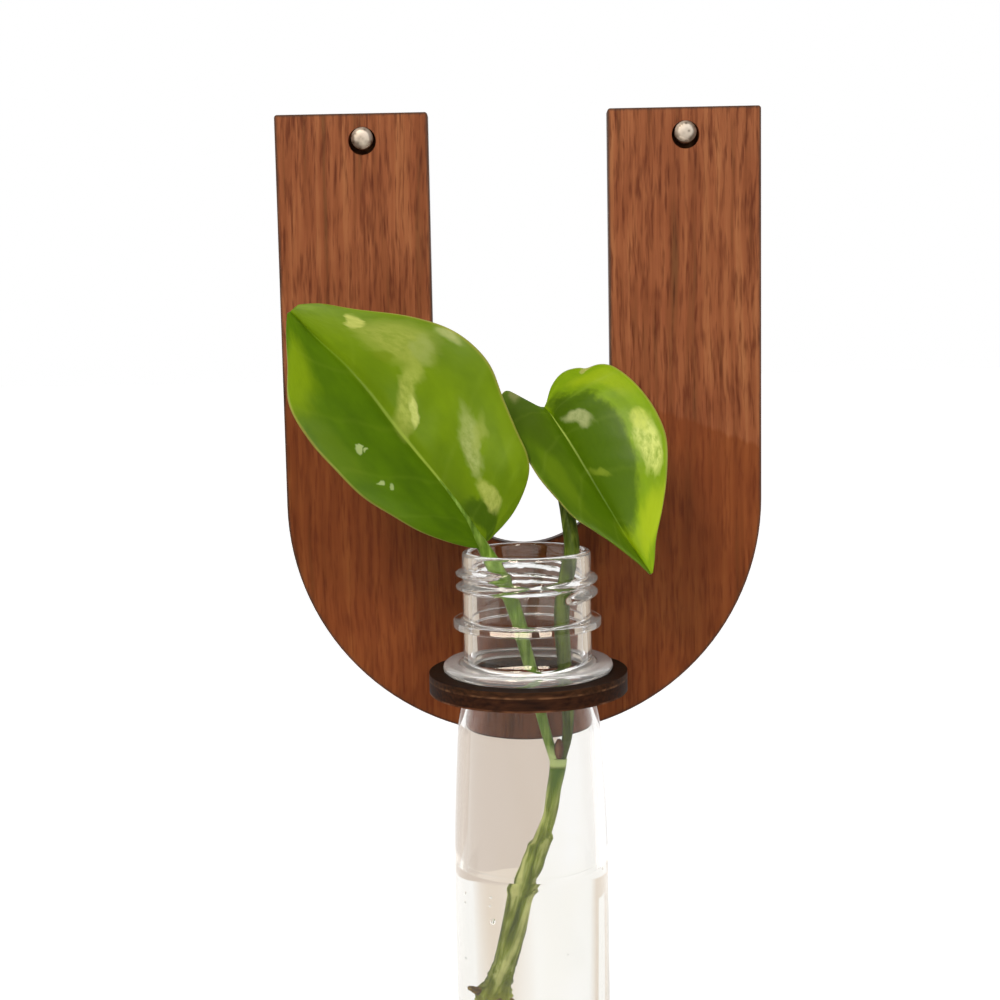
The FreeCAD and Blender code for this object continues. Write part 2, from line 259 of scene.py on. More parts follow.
# ---- Walnut veneer: open-pored board with straight upright grain and laser-burnt edges ----
def walnut_finish():
    material, add, shader = new_finish("walnut_veneer", IOR=1.5, Specular_IOR_Level=0.15)
    where = add("TexCoord").outputs["Object"]
    # The grain wanders a little from side to side over 30 to 60 mm
    wander = add("TexNoise", {"Vector": where, "Scale": 22.0, "Detail": 2.0})
    drift = add("MixRGB", (0.003, where, wander.outputs["Color"]), blend_type="ADD")
    # Growth bands 1 to 2.5 mm wide that run on for 60 mm and more
    along = add("Mapping", {"Vector": drift, "Scale": (1, 1, 0.032)})
    bands = add("TexNoise", {"Vector": along, "Scale": 520.0, "Detail": 3.0, "Roughness": 0.62})
    # Open pores: dark dashes about 0.4 mm wide and 4 to 8 mm long
    fine = add("Mapping", {"Vector": drift, "Scale": (1, 1, 0.085)})
    pores = add("TexNoise", {"Vector": fine, "Scale": 1500.0, "Detail": 2.0, "Roughness": 0.6})
    dashes = add("ValToRGB", {"Fac": pores}, stops=((0.3, "#b09684"), (0.52, "#ffffff")))
    wood = add("ValToRGB", {"Fac": bands}, stops=((0.28, "#744827"), (0.42, "#874d2b"),
                                                  (0.52, "#935633"), (0.62, "#9c603a"),
                                                  (0.76, "#a66c43")))
    grain = add("MixRGB", (0.9, wood, dashes), blend_type="MULTIPLY")
    # Cloudy patches, 8 to 15 mm across
    x, _, z = add("SeparateXYZ", (where,)).outputs
    cloud = add("TexNoise", {"Vector": where, "Scale": 75.0, "Detail": 3.0})
    mottle = add("ValToRGB", {"Fac": cloud}, stops=((0.35, "#ece2dc"), (0.65, "#ffffff")))
    even = add("MixRGB", (1.0, grain, mottle), blend_type="MULTIPLY")
    # Painted shade: the lower part of the plate is darker and redder, from a slanting line across
    # the arms
    across = add("Math", (x, 0.018), operation="MAXIMUM")
    painted_shade_line = add("Math", (across, 0.367, z), operation="MULTIPLY_ADD")
    frayed_shade_line = add("Math", (bands, 0.004, painted_shade_line), operation="MULTIPLY_ADD")
    # foot is the share of painted shade below the line, and deep is the colour with that shade
    foot = add("MapRange", (frayed_shade_line, -0.0432, -0.0442))
    shade_calm_share = add("Math", (foot, 0.35), operation="MULTIPLY")
    shade_calmed = add("MixRGB", (shade_calm_share, even, linear("#85492a")))
    deep = add("MixRGB", (foot, shade_calmed, linear("#ecdcb8")), blend_type="MULTIPLY")
    # Distance in from the outline: the outer half round, the gap's half round and the top edge
    reaches = []
    for arc_height in (PLATE_ARC_Z, GAP_ARC_Z):
        low = add("Math", (z, -arc_height * MM), operation="ADD")
        below = add("Math", (low, 0.0), operation="MINIMUM")
        reach = add("CombineXYZ", {"X": x, "Z": below})
        length = add("VectorMath", (reach,), operation="LENGTH")
        reaches.append(length.outputs["Value"])
    in_outer = add("Math", (PLATE_HALF * MM, reaches[0]), operation="SUBTRACT")
    in_gap = add("Math", (reaches[1], GAP_HALF * MM), operation="SUBTRACT")
    in_top = add("Math", (PLATE_TOP * MM, z), operation="SUBTRACT")
    nearer = add("Math", (in_outer, in_gap), operation="MINIMUM")
    inside = add("Math", (nearer, in_top), operation="MINIMUM")
    ragged = add("Math", (pores, 0.0003, inside), operation="MULTIPLY_ADD")
    burn = add("MapRange", (ragged, 0.0003, 0.00075, 0.85, 0.0))
    edged = add("MixRGB", (burn, deep, linear("#46342a")))
    sheen = add("MapRange", (pores, 0, 1, 0.62, 0.42))
    bump = add("Bump", {"Strength": 0.35, "Distance": 0.00012, "Height": dashes})
    wire(shader, {"Base Color": edged, "Roughness": sheen, "Normal": bump})
    return material


# ---- Dark ply: the laser-cut rings, nearly black with a paler line along each ring's edge ----
def ring_finish(name, face, edge, line, line_height):
    material, add, shader = new_finish(name, IOR=1.5, Specular_IOR_Level=0.12)
    coords = add("TexCoord")
    where = coords.outputs["Object"]
    fibres = add("Mapping", {"Vector": where, "Scale": (0.12, 1, 1)})
    grain = add("TexNoise", {"Vector": fibres, "Scale": 1500.0, "Detail": 3.0})
    streak = add("ValToRGB", {"Fac": grain}, stops=((0.32, "#6a6a6a"), (0.68, "#ffffff")))
    # Scorch on the cut edge comes and goes every 3 to 6 mm round the ring
    scorch = add("TexNoise", {"Vector": where, "Scale": 240.0, "Detail": 2.0})
    upright = add("SeparateXYZ", (coords.outputs["Normal"],)).outputs["Z"]
    flat = add("Math", (upright,), operation="ABSOLUTE")
    on_face = add("MapRange", (flat, 0.4, 0.8))
    height = add("SeparateXYZ", (where,)).outputs["Z"]
    off_line = add("Math", (height, line_height * MM), operation="SUBTRACT")
    off_line_abs = add("Math", (off_line,), operation="ABSOLUTE")
    near_line = add("MapRange", (off_line_abs, 0.00012, 0.0003, 1.0, 0.0))
    broken = add("MapRange", (scorch, 0.42, 0.6, 0.15, 0.9))
    line_share = add("Math", (near_line, broken), operation="MULTIPLY")
    side = add("MixRGB", (line_share, linear(edge), linear(line)))
    colour = add("MixRGB", (on_face, side, linear(face)))
    streaked = add("MixRGB", (0.8, colour, streak), blend_type="MULTIPLY")
    rough = add("MapRange", (grain, 0, 1, 0.58, 0.78))
    bump = add("Bump", {"Strength": 0.4, "Distance": 0.0001, "Height": grain})
    wire(shader, {"Base Color": streaked, "Roughness": rough, "Normal": bump})
    return material


def painted_glow_when_trapped(add, shader, glow):
    """Painted glow: where rays bounce on and on inside the wall or the water, the surface glows in
    the room's colour instead of going black.
    """
    ray = add("LightPath")
    trapped_glow = add("MapRange", (ray.outputs["Glossy Depth"], 2.0, 3.0, 0, glow))
    wire(shader, {"Emission Color": linear("#f4efe6"), "Emission Strength": trapped_glow})


# ---- Injection-moulded clear PET: glassy, a trace warm where the wall is thick ----
def pet_finish():
    material, add, shader = new_finish("clear_pet", IOR=1.575)
    coords = add("TexCoord")
    where = coords.outputs["Object"]
    # Sink and flow marks from moulding, about 6 mm apart and too shallow to feel
    flow = add("Mapping", {"Vector": where, "Scale": (1, 1, 0.25)})
    marks = add("TexNoise", {"Vector": flow, "Scale": 170.0, "Detail": 1.0})
    bump = add("Bump", {"Strength": 0.25, "Distance": 0.00012, "Height": marks})
    tint = add("ValToRGB", {"Fac": marks}, stops=((0.2, "#fefdfb"), (0.8, "#ffffff")))
    # The collar keeps the milky frost of its mould
    x, y, z = add("SeparateXYZ", (where,)).outputs
    ahead = add("Math", (y, -TUBE_Y * MM), operation="ADD")
    reach = add("CombineXYZ", {"X": x, "Y": ahead})
    radius = add("VectorMath", (reach,), operation="LENGTH")
    outside = add("MapRange", (radius.outputs["Value"], 0.013, 0.0138))
    above = add("MapRange", (z, (SHELF_TOP + COLLAR_TOP) * MM, (SHELF_TOP + 2.2) * MM, 1.0, 0.0))
    below = add("MapRange", (z, (SHELF_TOP - 0.3) * MM, SHELF_TOP * MM))
    level = add("Math", (above, below), operation="MULTIPLY")
    frost = add("Math", (level, outside), operation="MULTIPLY")
    rough = add("MapRange", (frost, 0, 1, 0.015, 0.1))
    clear = add("MapRange", (frost, 0, 1, 1.0, 0.74))
    # The bore and the far wall mirror little, or the stem would show twice through a haze
    outward = add("VectorMath", (reach, coords.outputs["Normal"]), operation="DOT_PRODUCT")
    in_bore = add("Math", (outward.outputs["Value"], 0.0), operation="LESS_THAN")
    behind = add("Math", (ahead, 0.0), operation="GREATER_THAN")
    far = add("Math", (in_bore, behind), operation="MAXIMUM")
    low = add("Math", (z, (SHELF_TOP + 8) * MM), operation="LESS_THAN")
    held = add("Math", (far, low), operation="MULTIPLY")
    sheen = add("MixRGB", (held, linear("#f6ece0"), linear("#3c3834")))
    wire(shader, {"Normal": bump, "Base Color": tint, "Roughness": rough,
                  "Transmission Weight": clear, "Specular Tint": sheen})
    painted_glow_when_trapped(add, shader, 0.08)
    return material


# ---- Water: clear, a few days old, with the faintest warm cast ----
def water_finish():
    material, add, shader = new_finish("still_water", Transmission_Weight=1.0, Roughness=0.0,
                                        Specular_Tint=linear("#3c3834"))
    coords = add("TexCoord")
    where = coords.outputs["Object"]
    cast = add("TexNoise", {"Vector": where, "Scale": 60.0, "Detail": 1.0})
    tint = add("ValToRGB", {"Fac": cast}, stops=((0.3, "#fdfdfb"), (0.7, "#ffffff")))
    # The open surface, and the wall that it is seen against, hardly bend the light, or they would
    # mirror the tube's foot as a dark pool
    _, y, z = add("SeparateXYZ", (where,)).outputs
    behind = add("Math", (y, TUBE_Y * MM), operation="GREATER_THAN")
    near_top = add("MapRange", (z, -0.1503, -0.1497))
    back = add("Math", (behind, near_top), operation="MULTIPLY")
    facing = add("SeparateXYZ", (coords.outputs["Normal"],)).outputs["Z"]
    flat = add("Math", (facing, 0.5), operation="GREATER_THAN")
    rim = add("Math", (z, -0.143), operation="GREATER_THAN")
    top = add("Math", (flat, rim), operation="MAXIMUM")
    weak = add("Math", (back, top), operation="MAXIMUM")
    bend = add("MapRange", (weak, 0, 1, 1.333, 1.004))
    wire(shader, {"Base Color": tint, "IOR": bend})
    painted_glow_when_trapped(add, shader, 0.75)
    return material


# ---- Galvanised steel: pale matt zinc with a chequered hammer face ----
def zinc_finish():
    material, add, shader = new_finish("galvanised_steel", Metallic=1.0)
    where = add("TexCoord").outputs["Object"]
    spangle = add("TexVoronoi", {"Vector": where, "Scale": 1100.0})
    colour = add("ValToRGB", {"Fac": spangle}, stops=((0.14, "#94897c"), (0.34, "#cdc3b5"),
                                                      (0.7, "#dfd6ca")))
    rough = add("MapRange", (spangle, 0, 1, 0.48, 0.62))
    bump = add("Bump", {"Strength": 0.4, "Distance": 0.00008, "Height": spangle})
    wire(shader, {"Base Color": colour, "Roughness": rough, "Normal": bump})
    return material


# ---- Leaf: waxy living blade with a pale midrib, side veins and blotches: paler variegation, painted shade and painted highlights ----
def leaf_finish(name, folded, broad, vein, rib_fade, blotches_and_painted_light):
    """Reads the blade's own UV: U runs from the broad margin to the folded one, V to the tip."""
    material, add, shader = new_finish(name, IOR=1.45, Specular_IOR_Level=0.12)
    where = add("UVMap", uv_map="UVMap")
    wide_share, long_share, _ = add("SeparateXYZ", (where,)).outputs
    across = add("Math", (wide_share, 0.5), operation="SUBTRACT")
    off_rib = add("Math", (across,), operation="ABSOLUTE")
    # Painted shade: the folded half gets a darker green than the broad half
    painted_shade_half = add("MapRange", (across, -0.03, 0.03), interpolation_type="SMOOTHSTEP")
    colour = add("MixRGB", (painted_shade_half, linear(broad), linear(folded)))
    # Uneven green, in clouds of a fifth of the blade
    cloud = add("TexNoise", {"Vector": where, "Scale": 6.0, "Detail": 4.0, "Roughness": 0.55})
    clouds = add("ValToRGB", {"Fac": cloud}, stops=((0.3, "#c4cfa8"), (0.7, "#ffffff")))
    current = add("MixRGB", (0.8, colour, clouds), blend_type="MULTIPLY")
    # Blotches, darker ones of painted shade and paler ones partly variegation and partly painted
    # highlight:
    # (U, V, half width in U, half length in V, turn in degrees, share, how broken, how soft its
    # edge is, colour)
    mottle = add("TexNoise", {"Vector": where, "Scale": 34.0, "Detail": 3.0, "Roughness": 0.65})
    speckle = add("MapRange", (mottle, 0.35, 0.62))
    wobble = add("TexNoise", {"Vector": where, "Scale": 9.0, "Detail": 3.0})
    bent = add("MixRGB", (0.05, where, wobble.outputs["Color"]), blend_type="LINEAR_LIGHT")
    for u, v, wide, long, turn, share, rough_share, soft, code in blotches_and_painted_light:
        placed = add("Mapping", {"Vector": bent, "Location": (u, v, 0), "Scale": (wide, long, 1),
                                 "Rotation": (0, 0, math.radians(turn))}, vector_type="TEXTURE")
        reach = add("VectorMath", (placed,), operation="LENGTH")
        ragged = 0.2 + rough_share
        wavy = add("Math", (mottle, ragged, reach.outputs["Value"]), operation="MULTIPLY_ADD")
        limit = 1.0 + ragged / 2 + soft / 3
        mask = add("MapRange", (wavy, limit - soft, limit, share, 0.0),
                   interpolation_type="SMOOTHSTEP")
        broken = add("MapRange", (speckle, 0, 1, 1.0 - rough_share))
        both = add("Math", (mask, broken), operation="MULTIPLY")
        current = add("MixRGB", (both, current, linear(code)))
    # Side veins leave the rib about every 5 mm and sweep towards the tip
    sweep = add("Math", (off_rib, -0.42, long_share), operation="MULTIPLY_ADD")
    shaken = add("Math", (cloud, 0.05, sweep), operation="MULTIPLY_ADD")
    count = add("Math", (shaken, 11.0), operation="MULTIPLY")
    saw = add("Math", (count, 1.0), operation="PINGPONG")
    line = add("MapRange", (saw, 0, 0.16, 1.0, 0.0), interpolation_type="SMOOTHSTEP")
    vein_share = add("Math", (line, 0.05), operation="MULTIPLY")
    veined = add("MixRGB", (vein_share, current, linear(vein)))
    # The midrib is a fine pale line that fades towards the tip
    rib = add("MapRange", (off_rib, 0.004, 0.014, 1.0, 0.0), interpolation_type="SMOOTHSTEP")
    fading = add("MapRange", (long_share, rib_fade - 0.25, rib_fade, 0.75, 0.05))
    rib_share = add("Math", (rib, fading), operation="MULTIPLY")
    ribbed = add("MixRGB", (rib_share, veined, linear(vein)))
    # The margin dries to a thin tan line
    margin = add("MapRange", (off_rib, 0.482, 0.497, 0, 0.55))
    edged = add("MixRGB", (margin, ribbed, linear("#a8a050")))
    wax = add("MapRange", (cloud, 0, 1, 0.4, 0.3))
    relief = add("Math", (line, 0.2, mottle), operation="MULTIPLY_ADD")
    bump = add("Bump", {"Strength": 0.25, "Distance": 0.00012, "Height": relief})
    wire(shader, {"Base Color": edged, "Roughness": wax, "Normal": bump})
    return material


# ---- Leaf underside: paler, matt, with the veins standing out ----
def underside_finish():
    material, add, shader = new_finish("leaf_underside", IOR=1.4, Roughness=0.55)
    where = add("UVMap", uv_map="UVMap")
    cloud = add("TexNoise", {"Vector": where, "Scale": 9.0, "Detail": 4.0})
    colour = add("ValToRGB", {"Fac": cloud}, stops=((0.3, "#6f8f2a"), (0.7, "#8fab46")))
    bump = add("Bump", {"Strength": 0.2, "Distance": 0.0001, "Height": cloud})
    wire(shader, {"Base Color": colour, "Normal": bump})
    return material


# ---- Stalk and stem: fleshy green with lengthwise fibres ----
def stalk_finish(name, dark, middle, light, lean=0.0, width=1.0, banded=False):
    material, add, shader = new_finish(name, IOR=1.42, Roughness=0.4, Specular_IOR_Level=0.15)
    where = add("TexCoord").outputs["Object"]
    # Fibres about 0.5 mm wide, or wider, and 12 mm long, laid along the stem's lean
    laid = add("Mapping", {"Vector": where, "Rotation": (0, math.radians(lean), 0)})
    drawn = add("Mapping", {"Vector": laid, "Scale": (1, 1, 0.05)})
    fibres = add("TexNoise", {"Vector": drawn, "Scale": 950.0 / width, "Detail": 3.0,
                              "Roughness": 0.5})
    colour = add("ValToRGB", {"Fac": fibres}, stops=((0.36, dark), (0.5, middle), (0.62, light)))
    blotch = add("TexNoise", {"Vector": where, "Scale": 260.0, "Detail": 2.0})
    shade = add("ValToRGB", {"Fac": blotch}, stops=((0.35, "#b9bd98"), (0.62, "#ffffff")))
    final = add("MixRGB", (0.7, colour, shade), blend_type="MULTIPLY")
    if banded:
        # Pale at the collar below the fork, then a dark green that fades out over 8 mm
        height = add("SeparateXYZ", (where,)).outputs["Z"]
        tone = add("MapRange", (height, -0.134, -0.119))
        shaded = add("ValToRGB", {"Fac": tone}, stops=((0.1, "#000000"), (0.4, "#c8c8c8"),
                                                       (0.62, "#f0f0f0"), (0.66, "#000000")))
        darkened = add("MixRGB", (shaded, final, linear("#3f6409")))
        collar = add("ValToRGB", {"Fac": tone}, stops=((0.63, "#000000"), (0.67, "#f0f0f0"),
                                                       (0.8, "#f0f0f0"), (0.95, "#000000")))
        final = add("MixRGB", (collar, darkened, linear("#bccd84")))
        # The node at the foot is yellower
        foot = add("MapRange", (height, -0.1665, -0.1705, 0, 0.5))
        final = add("MixRGB", (foot, final, linear("#b4ba3c")))
    bump = add("Bump", {"Strength": 0.3, "Distance": 0.0001, "Height": fibres})
    wire(shader, {"Base Color": final, "Normal": bump})
    return material


# ---- Root bud: corky brown tip on a green base ----
def bud_finish():
    material, add, shader = new_finish("root_bud_cork", IOR=1.4, Roughness=0.7)
    where = add("TexCoord").outputs["Object"]
    warts = add("TexNoise", {"Vector": where, "Scale": 900.0, "Detail": 4.0})
    colour = add("ValToRGB", {"Fac": warts}, stops=((0.3, "#4a3a1a"), (0.5, "#7a5f2c"),
                                                    (0.7, "#a08a45")))
    bump = add("Bump", {"Strength": 0.6, "Distance": 0.0002, "Height": warts})
    wire(shader, {"Base Color": colour, "Normal": bump})
    return material


# ---- Camera: fitted to the plate's edges, the neck and the shelf ----
def make_camera():
    camera = bpy.data.cameras.new("camera")
    camera.lens = 52.2
    camera.sensor_width = 36.0
    camera.sensor_fit = "HORIZONTAL"
    camera.clip_start = 0.01
    holder = bpy.data.objects.new("camera", camera)
    bpy.context.collection.objects.link(holder)
    place = Vector((-3.1845, -301.172, -42.844)) * MM
    pitch, yaw, roll = 0.1036, -0.006, -0.0193
    ahead = Vector((math.sin(yaw) * math.cos(pitch), math.cos(yaw) * math.cos(pitch),
                    -math.sin(pitch)))
    right = Vector((math.cos(yaw), -math.sin(yaw), 0))
    up = right.cross(ahead)
    level_right = right * math.cos(roll) + up * math.sin(roll)
    level_up = up * math.cos(roll) - right * math.sin(roll)
    turn = Matrix((level_right, level_up, -ahead)).transposed().to_4x4()
    holder.matrix_world = Matrix.Translation(place) @ turn
    bpy.context.scene.camera = holder


make_camera()

# ---- Turned pieces: tube and water ----
# The body swells below the collar in one easy curve: (drop below the shelf's top, radius)
SWELL = ((0, SHOULDER), (2, SHOULDER), (6, 13.35), (10, 13.78), (13, 14.05), (18, 14.33),
         (24, 14.66), (30, 14.93), (35, 15.08), (40, 15.15), (46, BODY), (60, BODY), (112.6, BODY))


def body_radius_at(drop):
    i = max(j for j, (low, _) in enumerate(SWELL[:-1]) if low <= drop)
    (low, start), (high, end) = SWELL[i:i + 2]
    return start + (end - start) * (drop - low) / (high - low)


def bore_radius_at(drop):
    """The wall thins from the neck's to the body's over the first 13 mm."""
    wall = SHOULDER_WALL + (WALL - SHOULDER_WALL) * ease(0, 13, drop)
    return max(body_radius_at(drop) - wall, BORE)


SWELL_DROPS = [2.0, 3.5, 5, 7, 9, 11, 13, 15.5, 18, 21, 24, 27, 30, 33, 36, 40, 44, 48, 54, 62,
               72, 84, 98, 110]
tube_profile = rounded_profile([
    (0, GATE_BOTTOM, 0), (GATE, GATE_BOTTOM, 0.3), (GATE, TUBE_BOTTOM, 0),
    (BODY, TUBE_BOTTOM, 13.5), (BODY, BODY_BOTTOM, 0),
], 24)
tube_profile += [Vector((body_radius_at(drop), -drop)) for drop in reversed(SWELL_DROPS)]
# The neck's wall has a ring of points every 0.22 mm from RINGS_LOW up, to raise the thread from
RINGS_LOW, RING_STEP, RINGS = 10.95, 0.22, 53
tube_profile += rounded_profile([
    (SHOULDER, 0, 0), (COLLAR, 0, 0.85), (COLLAR, COLLAR_TOP, 0.85), (NECK, COLLAR_TOP, 0.9),
    (NECK, BEAD_LOW, 0.4), (BEAD, BEAD_LOW, 0.25), (BEAD, BEAD_LOW + 0.3, 0),
    (BEAD, BEAD_TOP - 0.3, 0), (BEAD, BEAD_TOP, 0.25), (NECK, BEAD_TOP, 0.4), (NECK, RINGS_LOW, 0),
])
tube_profile += [Vector((NECK, RINGS_LOW + ring * RING_STEP)) for ring in range(1, RINGS + 1)]
tube_profile += rounded_profile([
    (NECK, 22.8, 0), (NECK, MOUTH, 0.6), (BORE, MOUTH, 0.5), (BORE, 20.0, 0), (BORE, 0, 0),
])
tube_profile += [Vector((bore_radius_at(drop), -drop)) for drop in SWELL_DROPS]
tube_profile += rounded_profile([
    (BODY - WALL, -110.5, 0), (BODY - WALL, BORE_BOTTOM, BODY - WALL), (0, BORE_BOTTOM, 0),
], 20)
tube = turned("screw_neck_tube", tube_profile, 192, TUBE_Y, SHELF_TOP)

# One right-hand thread, 2.6 mm a turn, over nearly two turns. It starts at the front right, and
# both ends fade out. Bearings are in degrees, counted from the right.
THREAD_START, THREAD_END, THREAD_PITCH = -58.0, 618.0, 2.6
THREAD_HEIGHT, THREAD_RELIEF = 15.45, 1.28
CREST, ROOT = 0.22, 1.02
FADE_IN, FADE_OUT = 26, 34
for vertex in tube.data.vertices:
    across, ahead = vertex.co.x / MM, vertex.co.y / MM - TUBE_Y
    height = vertex.co.z / MM - SHELF_TOP
    radius = math.hypot(across, ahead)
    if abs(radius - NECK) > 0.05 or not 11.2 <= height <= 22.6:
        continue
    around = math.degrees(math.atan2(ahead, across))
    ridge = 0.0
    for turns in (-1, 0, 1, 2):
        angle = around + 360.0 * turns
        if THREAD_START < angle < THREAD_END:
            off = abs(height - THREAD_HEIGHT - THREAD_PITCH * angle / 360.0)
            ends = (ease(THREAD_START, THREAD_START + FADE_IN, angle)
                    * ease(THREAD_END, THREAD_END - FADE_OUT, angle))
            ridge = max(ridge, (1 - ease(CREST, ROOT, off)) * ends)
    stretch = 1 + THREAD_RELIEF * ridge / radius
    vertex.co.x *= stretch
    vertex.co.y = (TUBE_Y + ahead * stretch) * MM
smooth_shade(tube, 50)

# The water reaches a little into the wall, so that no film of air lies between them
SOAK = 0.02
water_wall = bore_radius_at(-WATER_LEVEL) + SOAK
water_profile = rounded_profile([
    (0, BORE_BOTTOM - SOAK, 0), (BODY - WALL + SOAK, BORE_BOTTOM - SOAK, BODY - WALL),
    (BODY - WALL + SOAK, -110.5, 0),
], 20)
water_profile += [Vector((bore_radius_at(drop) + SOAK, -drop))
                  for drop in (110, 98, 84, 72, 62, 54, 48, 44, 40)]
# The surface climbs the wall by 1 mm in a concave meniscus
MENISCUS_TOP, MENISCUS_FOOT, MENISCUS_REACH = WATER_LEVEL + 0.4, WATER_LEVEL - 0.6, 1.8
for step in range(9):
    share = step / 8
    fall = (MENISCUS_TOP - MENISCUS_FOOT) * (1 - (1 - share) ** 2.4)
    water_profile.append(Vector((water_wall - MENISCUS_REACH * share, MENISCUS_TOP - fall)))
water_profile.append(Vector((0, MENISCUS_FOOT)))
water = turned("water_fill", water_profile, 128, TUBE_Y, SHELF_TOP)

# Air bubbles cling to the inside of the wall: (across, height, radius)
BUBBLES = ((-7.3, -151.2, 0.55), (-7.6, -146.4, 0.26), (-7.8, -148.1, 0.24), (-12.0, -147.4, 0.26),
           (-12.1, -149.3, 0.24), (-12.2, -160.6, 0.22), (6.2, -157.5, 0.16), (12.7, -143.6, 0.24))
hollows = []
for across, height, radius in BUBBLES:
    ahead = TUBE_Y - math.sqrt((BODY - WALL - 0.15 - radius) ** 2 - across ** 2)
    bpy.ops.mesh.primitive_ico_sphere_add(subdivisions=3, radius=radius * MM,
                                          location=(across * MM, ahead * MM, height * MM))
    bubble = name_piece("bubble")
    settle(bubble)
    edit_all(bpy.ops.transform.resize, value=(1.0, 1.0, 1.12))
    # A hollow in the water faces into the air that it holds
    edit_all(bpy.ops.mesh.flip_normals)
    hollows.append(bubble)
water = join("water_fill", [water] + hollows)
smooth_shade(water, 60)

# ---- Leaves ----
# Angles are in degrees. A station gives the rib's place along the leaf and its sideways bow, then
# the folded margin's place and reach, and then the broad margin's, all as shares.
LEAF_THICKNESS = 0.5
CROWN, MARGIN_ROLL, RIB_GROOVE = 0.9, 0.35, 0.3
SIDE_VEINS = 11
NICK_PLACE, NICK_WIDTH = 0.246, 0.018
left_leaf = {
    "foot": (-8.44, -3.3, 1.6), "lean": -38.0, "forward": 0.5, "length": 57.6, "folded_side": 1,
    "folded_half": 14.4, "folded_angle": 40.0, "broad_half": 23.1, "broad_angle": -5.0,
    "rib_bow": 1.9, "arch": 3.0,
}
left_leaf_stations = [
    (0.0, 0.0, 0.0, 0.08, 0.0, 0.07), (0.04, 0.2, 0.035, 0.22, 0.017, 0.365),
    (0.1, 0.55, 0.1, 0.42, 0.07, 0.63), (0.18, 0.8, 0.18, 0.62, 0.13, 0.76),
    (0.27, 0.93, 0.27, 0.77, 0.22, 0.825), (0.38, 0.93, 0.38, 0.93, 0.33, 0.905),
    (0.5, 0.95, 0.5, 0.98, 0.46, 1.0), (0.62, 1.1, 0.62, 1.0, 0.6, 0.945),
    (0.74, 0.95, 0.75, 0.9, 0.73, 0.74), (0.85, 0.45, 0.85, 0.56, 0.86, 0.43),
    (0.935, 0.15, 0.94, 0.26, 0.945, 0.24), (0.99, 0.0, 0.99, 0.05, 0.99, 0.085),
]
right_leaf = {
    "foot": (4.1, 8.8, 26.5), "lean": 147.6, "forward": 24.5, "length": 40.0, "folded_side": -1,
    "folded_half": 10.3, "folded_angle": 38.0, "broad_half": 18.3, "broad_angle": 6.0,
    "rib_bow": 0.7, "arch": 1.5,
}
right_leaf_stations = [
    (-0.015, 0.6, -0.015, 0.1, -0.015, 0.066), (0.02, 0.8, -0.1, 0.31, -0.09, 0.236),
    (0.05, 1.0, -0.18, 0.5, -0.111, 0.422), (0.09, 1.0, -0.14, 0.76, -0.07, 0.62),
    (0.15, 1.0, -0.04, 0.92, -0.008, 0.84), (0.22, 1.0, 0.09, 1.0, 0.09, 0.94),
    (0.31, 0.8, 0.22, 0.96, 0.22, 0.99), (0.42, 0.5, 0.35, 0.96, 0.36, 0.985),
    (0.54, 0.2, 0.48, 0.88, 0.5, 0.91), (0.66, 0.0, 0.6, 0.78, 0.645, 0.705),
    (0.78, -0.2, 0.7, 0.55, 0.765, 0.475), (0.88, -0.2, 0.8, 0.33, 0.865, 0.25),
    (0.95, -0.1, 0.9, 0.146, 0.945, 0.11), (0.99, 0.0, 0.99, 0.034, 0.99, 0.02),
]


def from_mouth(across, depth, height):
    return np.array((across, TUBE_Y + depth, SHELF_TOP + MOUTH + height))


def leaf_axes(leaf):
    lean, forward = math.radians(leaf["lean"]), math.radians(leaf["forward"])
    tipward = np.array((math.sin(lean) * math.cos(forward), -math.sin(forward),
                        math.cos(lean) * math.cos(forward)))
    outward = np.array((-math.sin(lean) * math.sin(forward), -math.cos(forward),
                        -math.cos(lean) * math.sin(forward)))
    return tipward, np.cross(outward, tipward) * leaf["folded_side"], outward


def leaf_point(leaf, along, across, angle):
    tipward, side, outward = leaf_axes(leaf)
    angle = math.radians(angle)
    raised = leaf["arch"] * 4 * along * (1 - along) + abs(across) * math.sin(angle)
    place = from_mouth(*leaf["foot"]) + tipward * (along * leaf["length"])
    return place + side * (across * math.cos(angle)) + outward * raised


def blade_place(leaf, stations, share, across, relief):
    """share runs from foot to tip, across from -1 on the broad margin to 1 on the folded one."""
    row = smooth_at(stations, share * (len(stations) - 1))
    rib = leaf_point(leaf, row[0], -row[1] * leaf["rib_bow"], 0)
    if across >= 0:
        margin = leaf_point(leaf, row[2], row[3] * leaf["folded_half"], leaf["folded_angle"])
    else:
        margin = leaf_point(leaf, row[4], -row[5] * leaf["broad_half"], leaf["broad_angle"])
    far = abs(across)
    width = row[3] if across >= 0 else row[5]
    outward = leaf_axes(leaf)[2]
    hump = width * 4 * far * (1 - far)
    crown = CROWN * hump
    # Side veins pucker the blade into shallow pillows, and the margin rolls gently
    pillow = relief * hump * math.sin(math.pi * SIDE_VEINS * (share - 0.21 * far)) ** 2
    roll = MARGIN_ROLL * width * far ** 3 * math.sin(9.0 * share + (2.0 if across >= 0 else 0.5))
    groove = -RIB_GROOVE * math.exp(-(far / 0.05) ** 2) * ease(0.02, 0.15, share)
    return rib + (margin - rib) * far + outward * (crown + pillow + roll + groove)


